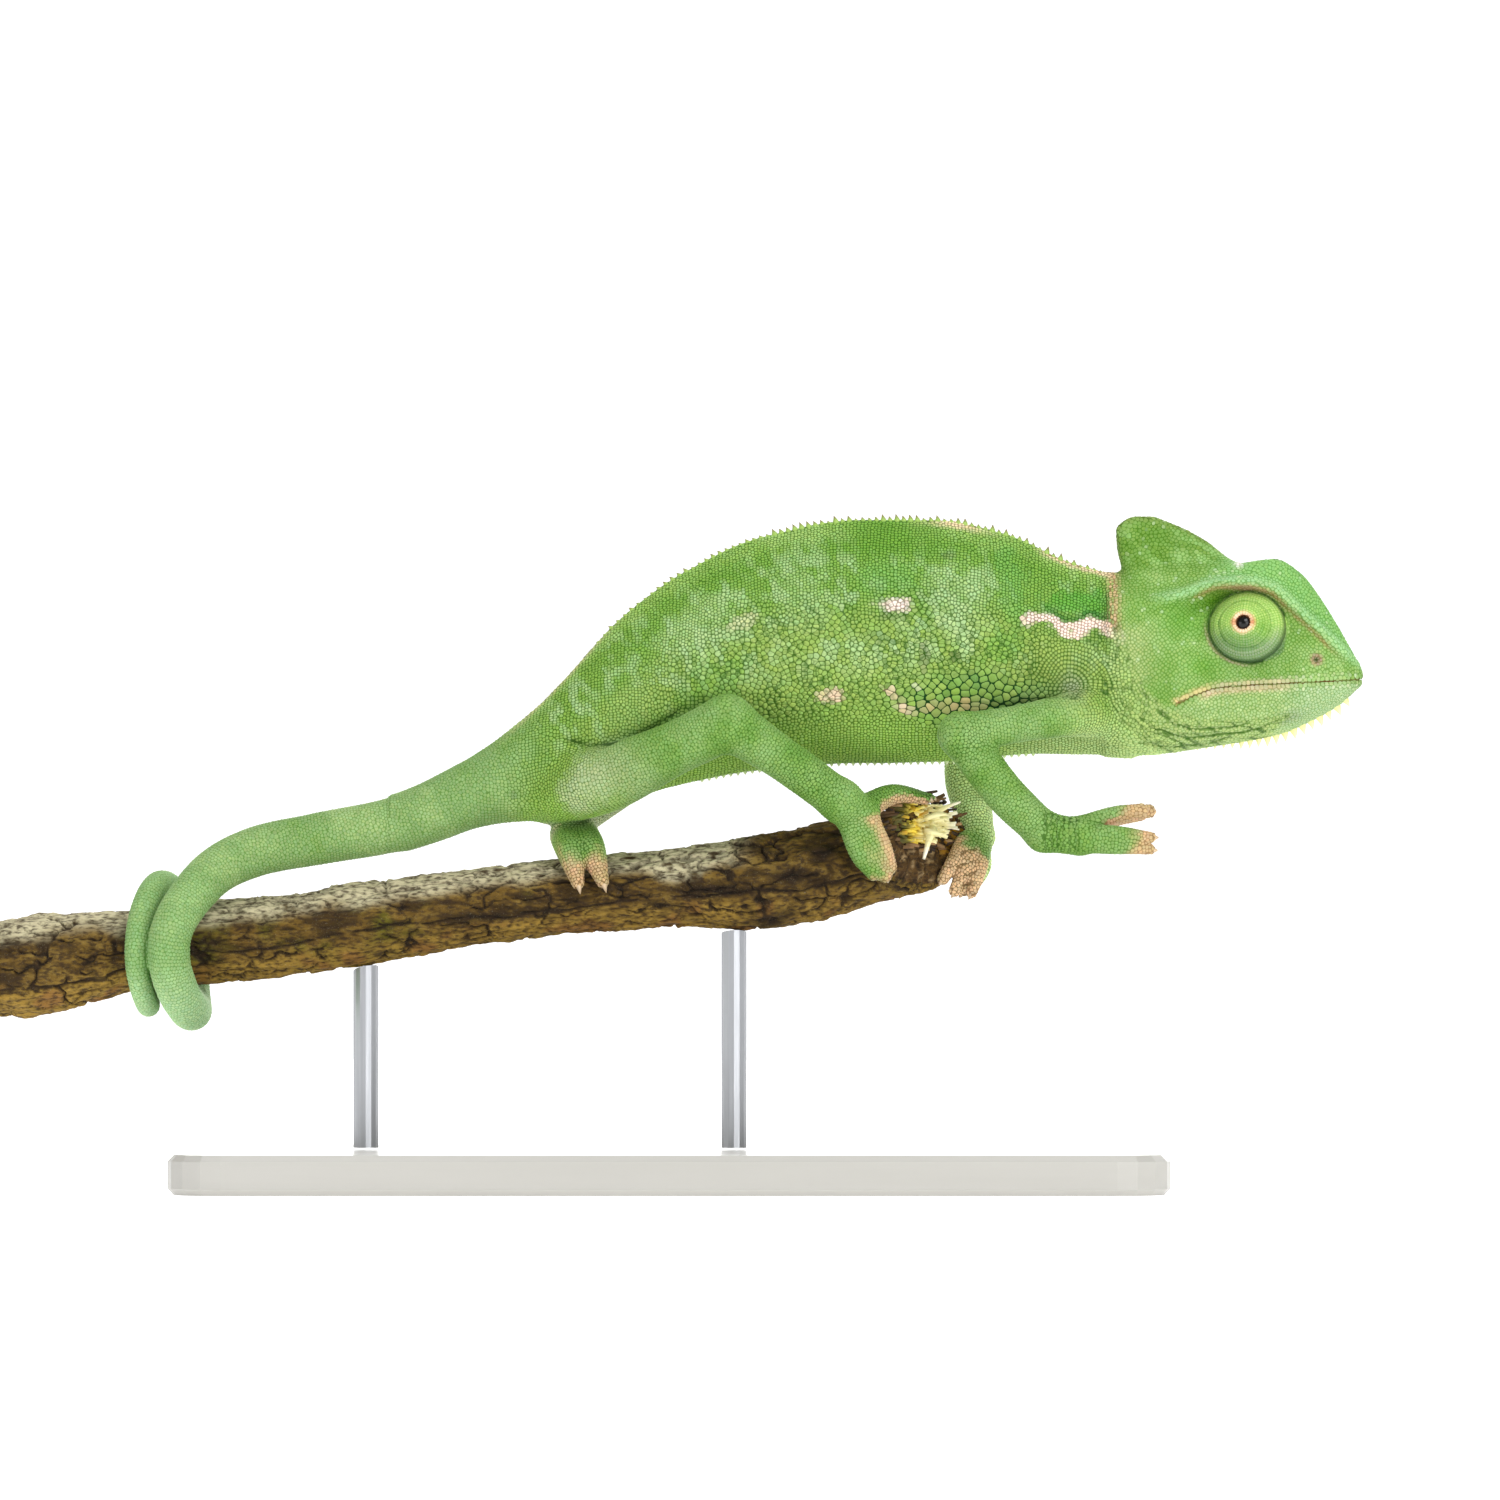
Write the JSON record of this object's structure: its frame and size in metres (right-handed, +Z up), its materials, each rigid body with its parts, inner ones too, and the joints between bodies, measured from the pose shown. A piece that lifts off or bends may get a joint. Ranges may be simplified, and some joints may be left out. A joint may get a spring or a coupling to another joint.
{
  "type": "young veiled chameleon on a branch, life-size model on a display stand",
  "caption": "Still life-size model of a young green veiled chameleon walking along a short cut branch, tail wound round the wood, one hand raised, on a plain stand.",
  "frame": {"origin": "centre of the stand base's underside", "axes": "+X the way the animal faces, along the branch; +Z up; the animal's right side and raised hand face -Y"},
  "size_m": [0.1741, 0.062, 0.0848],
  "materials": {
    "skin": "fine granular scales, satin",
    "head_skin": "flat plates and granular scales, satin",
    "limb_skin": "fine granular scales, satin",
    "eye": "wet gloss",
    "bark": "rough bark",
    "base": "pale satin lacquer",
    "rod": "satin"
  },
  "bodies": {
    "root": {"head": "head_skin", "lower_jaw": "head_skin", "casque": "head_skin", "neck": "skin", "trunk": "skin", "branch": "bark", "stand_base": "base", "stand_rod_1": "rod", "stand_rod_2": "rod", "eye_turret_right": "head_skin", "eye_right": "eye", "eye_turret_left": "head_skin", "eye_left": "eye", "tail_1": "limb_skin", "tail_2": "limb_skin", "tail_3": "limb_skin", "tail_4": "limb_skin", "tail_5": "limb_skin", "tail_6": "limb_skin", "tail_7": "limb_skin", "hind_right_upper": "limb_skin", "hind_right_lower": "limb_skin", "hind_right_foot": "limb_skin", "hind_right_inner_toes": "limb_skin", "hind_right_outer_toes": "limb_skin", "hind_left_upper": "limb_skin", "hind_left_lower": "limb_skin", "hind_left_foot": "limb_skin", "hind_left_inner_toes": "limb_skin", "hind_left_outer_toes": "limb_skin", "fore_right_upper": "limb_skin", "fore_right_lower": "limb_skin", "fore_right_foot": "limb_skin", "fore_right_inner_toes": "limb_skin", "fore_right_outer_toes": "limb_skin", "fore_left_upper": "limb_skin", "fore_left_lower": "limb_skin", "fore_left_foot": "limb_skin", "fore_left_inner_toes": "limb_skin", "fore_left_outer_toes": "limb_skin"}
  },
  "joints": []
}
